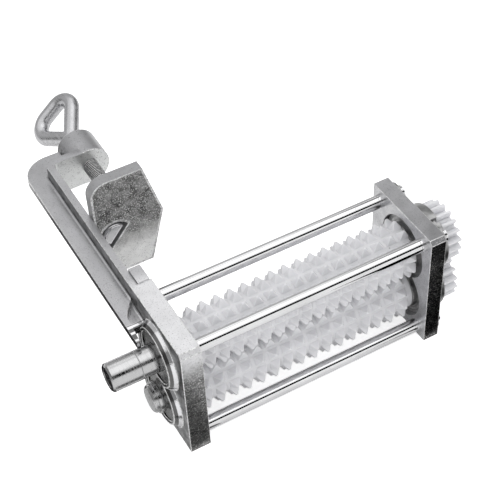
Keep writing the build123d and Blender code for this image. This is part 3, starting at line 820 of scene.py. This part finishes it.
class TENDERIZER_OT_near_frame(bpy.types.Operator):
    """Near plate, bearing bosses and clamp arm, one casting with rounded edges"""
    bl_idname = "tenderizer.near_frame"
    bl_label = "Near Frame"

    def execute(self, context):
        sizes = context.scene.tenderizer_sizes
        softened(
            context, "near_frame", "frame", casting_material(context),
            sizes.casting_round, sizes.round_steps, worn_highlight_material(context),
        )
        return {"FINISHED"}


class TENDERIZER_OT_far_end(bpy.types.Operator):
    """Far plate and the bearing housing in it"""
    bl_idname = "tenderizer.far_end"
    bl_label = "Far Plate and Housing"

    def execute(self, context):
        sizes = context.scene.tenderizer_sizes
        finish = context.scene.tenderizer_finish
        # Far plate: its front face painted near black as a dark reflection, its left face painted
        # paler as a bright reflection
        plate = kept(
            cast_metal, "plated far plate", tuple(finish.arm_colour), (0.01, 0.01, 0.01),
            dark_z=200 * MM, pale_z=300 * MM, side_colour=(0.7, 0.7, 0.71), side_share=1.0,
        )
        softened(
            context, "far_plate", "frame", plate,
            sizes.machined_round, sizes.round_steps, worn_highlight_material(context),
        )
        softened(
            context, "far_bearing_housing", "frame", housing_material(context),
            sizes.machined_round, sizes.round_steps,
        )
        return {"FINISHED"}


class TENDERIZER_OT_tie_rods(bpy.types.Operator):
    """Four polished tie rods and their push-on clips"""
    bl_idname = "tenderizer.tie_rods"
    bl_label = "Tie Rods"

    def execute(self, context):
        sizes = context.scene.tenderizer_sizes
        material = bright_material(context)
        groove = sizes.rod_groove
        inner_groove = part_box("far_plate")[0].x - sizes.plate_groove_gap
        for corner in ROD_CORNERS:
            node = f"tie_rod_{corner}"
            low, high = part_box(node)
            radius = (high.z - low.z) / 2
            outline = [(low.x, 0), (low.x, radius)]
            for start in (inner_groove, high.x - sizes.end_groove_gap):
                outline += [
                    (start, radius),
                    (start + groove / 2, radius - groove),
                    (start + groove, radius),
                ]
            outline += [
                (high.x - sizes.rod_chamfer, radius),
                (high.x, radius - sizes.rod_chamfer),
                (high.x, 0),
            ]
            add_piece(
                context, turned(outline, middle(node), sizes.turned_steps),
                f"{node}_dressed", "frame", [material], [node],
                flat_faces=False,
            )
        softened(
            context, "rod_clips", "frame", housing_material(context),
            sizes.machined_round, SMALL_ROUND_STEPS,
        )
        return {"FINISHED"}


class TENDERIZER_OT_shafts(bpy.types.Operator):
    """Upper and lower shafts with the crank stub and the thrust collar"""
    bl_idname = "tenderizer.shafts"
    bl_label = "Shafts"

    def execute(self, context):
        sizes = context.scene.tenderizer_sizes
        finish = context.scene.tenderizer_finish
        material = kept(
            polished_steel, "shaft steel", tuple(finish.shaft_colour), roughness=0.22,
            along=(1, 0.05, 0.05), blemish=0.7,
        )
        chamfer = sizes.shaft_chamfer
        groove = sizes.rod_groove
        for level in LEVELS:
            node = f"{level}_shaft"
            low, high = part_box(node)
            radius = (high.z - low.z) / 2
            seat = low.x + sizes.seat_length
            if level == "upper":
                outline = [
                    (low.x + sizes.socket_depth, 0),
                    (low.x + sizes.socket_depth, sizes.socket_radius),
                    (low.x + groove, sizes.socket_radius),
                    (low.x, sizes.socket_radius + groove),
                    (low.x, radius - chamfer),
                    (low.x + chamfer, radius),
                    (seat, radius),
                    (seat + groove, radius - groove),
                    (seat + 2 * groove, radius),
                ]
            else:
                outline = [(low.x, 0), (low.x, radius - chamfer), (low.x + chamfer, radius)]
            outline += [(high.x - chamfer, radius), (high.x, radius - chamfer), (high.x, 0)]
            add_piece(
                context, turned(outline, middle(node), sizes.turned_steps),
                f"{node}_dressed", f"{level}_roller_set", [material], [node],
                flat_faces=False,
            )
        softened(
            context, "lower_thrust_collar", "lower_roller_set", material,
            sizes.machined_round, SMALL_ROUND_STEPS,
        )
        return {"FINISHED"}


class TENDERIZER_OT_rollers(bpy.types.Operator):
    """Two moulded rollers with rings of blunt points"""
    bl_idname = "tenderizer.rollers"
    bl_label = "Rollers"

    def execute(self, context):
        sizes = context.scene.tenderizer_sizes
        for level in LEVELS:
            node = f"{level}_roller"
            axis = middle(node)
            tip_reach = TIP_SHARE * (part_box(node)[1].z - axis.z)
            bm = cad_copy(node)
            tips = [
                edge for edge in sharp_edges(bm)
                if all(hypot(v.co.y - axis.y, v.co.z - axis.z) > tip_reach for v in edge.verts)
            ]
            bmesh.ops.bevel(
                bm, geom=tips, offset=sizes.point_round, offset_type="OFFSET",
                segments=SMALL_ROUND_STEPS, profile=0.5, affect="EDGES", clamp_overlap=True,
                loop_slide=True, material=-1,
            )
            add_piece(
                context, bm, f"{node}_dressed", f"{level}_roller_set",
                [plastic_material(context)], [node], flat_faces=False, crease=15,
            )
        return {"FINISHED"}


class TENDERIZER_OT_bearings(bpy.types.Operator):
    """Bearing discs of the near plate and bushes of the far housing"""
    bl_idname = "tenderizer.bearings"
    bl_label = "Bearings"

    def execute(self, context):
        sizes = context.scene.tenderizer_sizes
        for end, material in (
            ("near", bearing_and_root_shade_material(context)), ("far", housing_material(context)),
        ):
            for level in LEVELS:
                softened(
                    context, f"{level}_{end}_bush", "frame",
                    material, sizes.machined_round, SMALL_ROUND_STEPS,
                )
        return {"FINISHED"}


class TENDERIZER_OT_gears(bpy.types.Operator):
    """Moulded gears with their keys, circlips and the rollers' cross pins"""
    bl_idname = "tenderizer.gears"
    bl_label = "Gears"

    def execute(self, context):
        sizes = context.scene.tenderizer_sizes
        steel = housing_material(context)
        for level in LEVELS:
            body = f"{level}_roller_set"
            softened(
                context, f"{level}_gear", body, plastic_material(context),
                sizes.gear_round, SMALL_ROUND_STEPS, room=1.0,
            )
            for node in (f"{level}_gear_circlip", f"{level}_gear_key", f"{level}_roller_pin"):
                recoat(node, steel)
        return {"FINISHED"}


class TENDERIZER_OT_clamp_screw(bpy.types.Operator):
    """Threaded clamp screw, bent at its end into a loop"""
    bl_idname = "tenderizer.clamp_screw"
    bl_label = "Clamp Screw"

    def execute(self, context):
        sizes = context.scene.tenderizer_sizes
        finish = context.scene.tenderizer_finish
        material = kept(
            polished_steel, "screw steel", tuple(finish.screw_colour), roughness=0.3,
            along=(1, 0.05, 1), blemish=0.25,
        )
        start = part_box("clamp_jaw")[1].y + sizes.machined_round
        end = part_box("clamp_screw")[1].y - sizes.thread_end
        axis = middle("clamp_screw")
        bm = cad_copy("clamp_screw")
        round_edges(bm, sizes.machined_round, SMALL_ROUND_STEPS)
        # The plain bar between jaw and loop makes way for the thread
        for y in (start, end):
            bmesh.ops.bisect_plane(
                bm, geom=[*bm.verts, *bm.edges, *bm.faces], plane_co=(0, y, 0),
                plane_no=(0, 1, 0),
            )
        plain = [face for face in bm.faces if start < face.calc_center_median().y < end]
        bmesh.ops.delete(bm, geom=plain, context="FACES")
        open_rims = [edge for edge in bm.edges if edge.is_boundary]
        bmesh.ops.holes_fill(bm, edges=open_rims, sides=0)
        # One pitch of thread, spun and advanced along the bar
        crest = sizes.bar_radius - 0.1 * sizes.machined_round
        root = crest - sizes.thread_depth
        pitch = sizes.thread_pitch
        profile = (
            (0, crest), (0.2, crest), (0.42, root), (0.58, root), (0.8, crest), (1, crest),
        )
        turns = int((end - start) / pitch) + 2
        first = end - (turns - 1) * pitch
        verts = [
            bm.verts.new((axis.x, first + share * pitch, axis.z + radius))
            for share, radius in profile
        ]
        edges = [bm.edges.new(pair) for pair in zip(verts, verts[1:])]
        bmesh.ops.spin(
            bm, geom=verts + edges, cent=axis, axis=(0, 1, 0),
            dvec=(0, pitch / sizes.thread_steps, 0), angle=2 * pi * turns,
            steps=turns * sizes.thread_steps, use_merge=False, use_duplicate=False,
        )
        bmesh.ops.remove_doubles(bm, verts=bm.verts, dist=MERGE_GAP)
        bmesh.ops.recalc_face_normals(bm, faces=bm.faces)
        # Painted light and shade on the thread: its crests get a painted highlight and its roots
        # painted shade
        root_reach = crest - 0.3 * sizes.thread_depth
        for face in bm.faces:
            centre = face.calc_center_median()
            reach = hypot(centre.x - axis.x, centre.z - axis.z)
            face.material_index = 0
            if start < centre.y < end:
                face.material_index = 1 if reach < root_reach else 2
        add_piece(
            context, bm, "clamp_screw_dressed", "clamp_screw",
            [material, bearing_and_root_shade_material(context), worn_highlight_material(context)], ["clamp_screw"],
        )
        return {"FINISHED"}


class TENDERIZER_OT_jaw(bpy.types.Operator):
    """Clamp jaw with its recess, stud and pins"""
    bl_idname = "tenderizer.jaw"
    bl_label = "Clamp Jaw"

    def execute(self, context):
        sizes = context.scene.tenderizer_sizes
        finish = context.scene.tenderizer_finish
        # Jaw: its pressing face painted with a reflection, dark high up and pale low down, and its
        # left faces with painted shade
        material = kept(
            cast_metal, "jaw casting", tuple(0.65 * part for part in finish.arm_colour),
            tuple(finish.jaw_reflection_colour), dark_z=62 * MM, pale_z=44 * MM,
            side_colour=(0.2, 0.2, 0.2), side_share=0.6, pale_front=(0.97, 0.97, 0.96),
            metallic=0.35,
        )
        bm = cad_copy("clamp_jaw")
        front_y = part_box("clamp_jaw")[0].y + MERGE_GAP
        pressing = [face for face in bm.faces if face.calc_center_median().y < front_y]
        rim = bmesh.ops.inset_region(
            bm, faces=pressing, thickness=sizes.jaw_rim, depth=-sizes.jaw_rim_rise,
            use_boundary=True, use_even_offset=True,
        )
        # The rim takes the bright edge material: wear with a painted highlight
        for face in rim["faces"]:
            face.material_index = 1
        add_piece(
            context, bm, "clamp_jaw_dressed", "jaw",
            [material, worn_highlight_material(context)], ["clamp_jaw"],
        )
        for node in ("jaw_stud", "jaw_pins"):
            recoat(node, bright_material(context))
        return {"FINISHED"}


# Stage

def add_panel(context, name, corner, side, up, material):
    """A flat panel from one corner along two sides."""
    bm = bmesh.new()
    spread = Matrix((side, up, side.cross(up))).transposed().to_4x4()
    spread.translation = corner + (side + up) / 2
    bmesh.ops.create_grid(bm, x_segments=1, y_segments=1, size=0.5, matrix=spread)
    mesh = bpy.data.meshes.new(name)
    bm.to_mesh(mesh)
    bm.free()
    mesh.materials.append(material)
    panel = bpy.data.objects.new(name, mesh)
    context.scene.collection.objects.link(panel)
    return panel


def add_card(context, name, brightness, corner, side, up):
    """A card that only the object's reflections see."""
    material = new_material(name, {
        "Base Color": (0, 0, 0, 1), "Specular IOR Level": 0.0,
        "Emission Color": (1, 1, 1, 1), "Emission Strength": brightness,
    })[0]
    card = add_panel(context, name, Vector(corner), Vector(side), Vector(up), material)
    card.visible_camera = False
    card.visible_diffuse = False
    card.visible_shadow = False


def add_level_card(context, name, brightness, corner, size, rise=0.0):
    """A card that lies level, or rises towards the back."""
    length, depth = size
    add_card(context, name, brightness, corner, (length, 0, 0), (0, depth, rise))


class TENDERIZER_OT_stage(bpy.types.Operator):
    """White floor, reflection cards, sky, overhead lamp and camera"""
    bl_idname = "tenderizer.stage"
    bl_label = "Stage"

    def floor(self, context, settings):
        """A dull floor that the camera sees as white, with the object's shadow on it."""
        material, tree, shader, _ = new_material("white floor", {
            "Base Color": (*settings.floor_colour, 1.0), "Roughness": 0.9,
            "Specular IOR Level": 0.0, "Emission Color": (1, 1, 1, 1),
        })
        path = put(tree, "ShaderNodeLightPath")
        glow = calculate(
            tree, "MULTIPLY", path.outputs["Is Camera Ray"], settings.floor_glow
        )
        link(tree, glow, shader, "Emission Strength")
        size = settings.floor_size
        add_panel(
            context, "floor", Vector((-size / 2, -size / 2, 0)), Vector((size, 0, 0)),
            Vector((0, size, 0)), material,
        )

    def room_cards(self, context, settings):
        """The lamp as reflections show it, and the dark and grey sides of the room."""
        far_low, far_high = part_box("far_plate")
        middle_y = (far_low.y + far_high.y) / 2
        middle_z = cad_box[1].z / 2
        place = settings.key_place
        length, depth = settings.key_size
        add_level_card(
            context, "key_shine", settings.key_shine,
            (place[0] - length / 2, place[1] - depth / 2, place[2]), (length, depth),
        )
        # Band in front, round the height of the camera
        wall = settings.wall_distance
        width = 2 * wall
        along = (2 * width, 0, 0)
        reach = settings.band_distance
        band_low, band_high = (
            Vector((-width, middle_y - reach * cos(angle), middle_z + reach * sin(angle)))
            for angle in settings.band_angles
        )
        add_card(context, "camera_band", 0.0, band_low, along, band_high - band_low)
        # Grey walls: the back one brighter and higher, the left one lower
        grey = settings.wall_brightness
        height = settings.wall_height
        add_card(
            context, "back_wall", 2 * grey, (-width, wall, CARD_LIFT), along,
            (0, 0, 1.1 * height),
        )
        for name, x, height_share in (("left_wall", -wall, 0.6), ("right_wall", wall, 1.0)):
            add_card(
                context, name, grey, (x, -wall, CARD_LIFT), (0, width, 0),
                (0, 0, height_share * height),
            )

    def face_cards(self, context):
        """Cards that each shade one side of the castings."""
        low = cad_box[0]
        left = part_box("near_frame")[0].x - FLOOR_CARD_REACH
        front = low.y - FLOOR_CARD_GAP
        # Dark floor in front of each plate's front face
        add_level_card(
            context, "near_floor_card", brightness=0.15,
            corner=(left, front - NEAR_FLOOR_SIZE[1], CARD_LIFT), size=NEAR_FLOOR_SIZE,
        )
        far_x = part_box("far_plate")[0].x + FLOOR_CARD_GAP
        add_level_card(
            context, "far_floor_card", brightness=0.0,
            corner=(far_x, front - FAR_FLOOR_SIZE[1], CARD_LIFT), size=FAR_FLOOR_SIZE,
        )
        # Dark card that the far plate's top reflects, and white one for the near plate's
        add_level_card(
            context, "far_top_card", brightness=0.2, corner=FAR_TOP_CORNER,
            size=FAR_TOP_SIZE, rise=FAR_TOP_RISE,
        )
        add_level_card(
            context, "near_top_card", brightness=1.3, corner=NEAR_TOP_CORNER,
            size=NEAR_TOP_SIZE, rise=NEAR_TOP_RISE,
        )
        # Dark floor to the left, for the faces that look left
        add_level_card(
            context, "left_floor_card", brightness=0.02,
            corner=(left - LEFT_FLOOR_SIZE[0], low.y + LEFT_CARD_INSET, CARD_LIFT),
            size=LEFT_FLOOR_SIZE,
        )

    def sky(self, scene, settings):
        """Even light from all sides, which the camera and reflections see as white."""
        world = bpy.data.worlds.new("soft sky")
        scene.world = world
        world.use_nodes = True
        tree = world.node_tree
        tree.nodes.clear()
        path = put(tree, "ShaderNodeLightPath")
        seen = calculate(
            tree, "ADD", path.outputs["Is Camera Ray"], path.outputs["Is Glossy Ray"]
        )
        seen = calculate(tree, "ADD", seen, path.outputs["Is Transmission Ray"])
        strength = remap(tree, seen, 0.0, 1.0, settings.sky_strength, 1.0)
        light = put(tree, "ShaderNodeBackground", {"Color": (1, 1, 1, 1), "Strength": strength})
        output = put(tree, "ShaderNodeOutputWorld")
        tree.links.new(light.outputs["Background"], output.inputs["Surface"])

    def key_lamp(self, scene, settings):
        """Large lamp overhead; reflections see its card in its place."""
        lamp = bpy.data.lights.new("key", "AREA")
        lamp.shape = "RECTANGLE"
        lamp.size, lamp.size_y = settings.key_size
        lamp.energy = settings.key_power
        key = bpy.data.objects.new("key", lamp)
        key.location = settings.key_place
        key.visible_glossy = False
        scene.collection.objects.link(key)

    def camera(self, scene, settings):
        """Camera at the photo's angle."""
        camera_data = bpy.data.cameras.new("camera")
        camera_data.lens = settings.camera_lens
        camera_data.sensor_width = SENSOR_WIDTH
        camera_data.clip_start = 10 * MM
        camera = bpy.data.objects.new("camera", camera_data)
        right = Vector(settings.camera_right).normalized()
        back = -Vector(settings.camera_view).normalized()
        up = back.cross(right).normalized()
        turn = Matrix((right, up, back)).transposed().to_4x4()
        camera.matrix_world = Matrix.Translation(settings.camera_place) @ turn
        scene.collection.objects.link(camera)
        scene.camera = camera

    def execute(self, context):
        settings = context.scene.tenderizer_stage
        scene = context.scene
        scene.view_settings.view_transform = "Standard"
        self.floor(context, settings)
        self.room_cards(context, settings)
        self.face_cards(context)
        self.sky(scene, settings)
        self.key_lamp(scene, settings)
        self.camera(scene, settings)
        return {"FINISHED"}


class TENDERIZER_PT_panel(bpy.types.Panel):
    """Sizes, finishes and the operators that make each piece"""
    bl_idname = "TENDERIZER_PT_panel"
    bl_label = "Meat Tenderizer"
    bl_space_type = "VIEW_3D"
    bl_region_type = "UI"
    bl_category = "Tenderizer"

    def draw(self, context):
        layout = self.layout
        for group in (
            context.scene.tenderizer_sizes,
            context.scene.tenderizer_finish,
            context.scene.tenderizer_stage,
        ):
            box = layout.box()
            for name in group.__annotations__:
                box.prop(group, name)
        for operator in OPERATORS:
            layout.operator(operator.bl_idname)


OPERATORS = (
    TENDERIZER_OT_near_frame,
    TENDERIZER_OT_far_end,
    TENDERIZER_OT_tie_rods,
    TENDERIZER_OT_shafts,
    TENDERIZER_OT_rollers,
    TENDERIZER_OT_bearings,
    TENDERIZER_OT_gears,
    TENDERIZER_OT_clamp_screw,
    TENDERIZER_OT_jaw,
    TENDERIZER_OT_stage,
)
CLASSES = (TenderizerSizes, TenderizerFinish, TenderizerStage, *OPERATORS, TENDERIZER_PT_panel)


def register():
    for cls in CLASSES:
        bpy.utils.register_class(cls)
    bpy.types.Scene.tenderizer_sizes = PointerProperty(type=TenderizerSizes)
    bpy.types.Scene.tenderizer_finish = PointerProperty(type=TenderizerFinish)
    bpy.types.Scene.tenderizer_stage = PointerProperty(type=TenderizerStage)


def unregister():
    del bpy.types.Scene.tenderizer_stage
    del bpy.types.Scene.tenderizer_finish
    del bpy.types.Scene.tenderizer_sizes
    for cls in reversed(CLASSES):
        bpy.utils.unregister_class(cls)


def main():
    register()
    bpy.ops.tenderizer.near_frame()
    bpy.ops.tenderizer.far_end()
    bpy.ops.tenderizer.tie_rods()
    bpy.ops.tenderizer.shafts()
    bpy.ops.tenderizer.rollers()
    bpy.ops.tenderizer.bearings()
    bpy.ops.tenderizer.gears()
    bpy.ops.tenderizer.clamp_screw()
    bpy.ops.tenderizer.jaw()
    bpy.ops.tenderizer.stage()


if __name__ == "__main__":
    main()
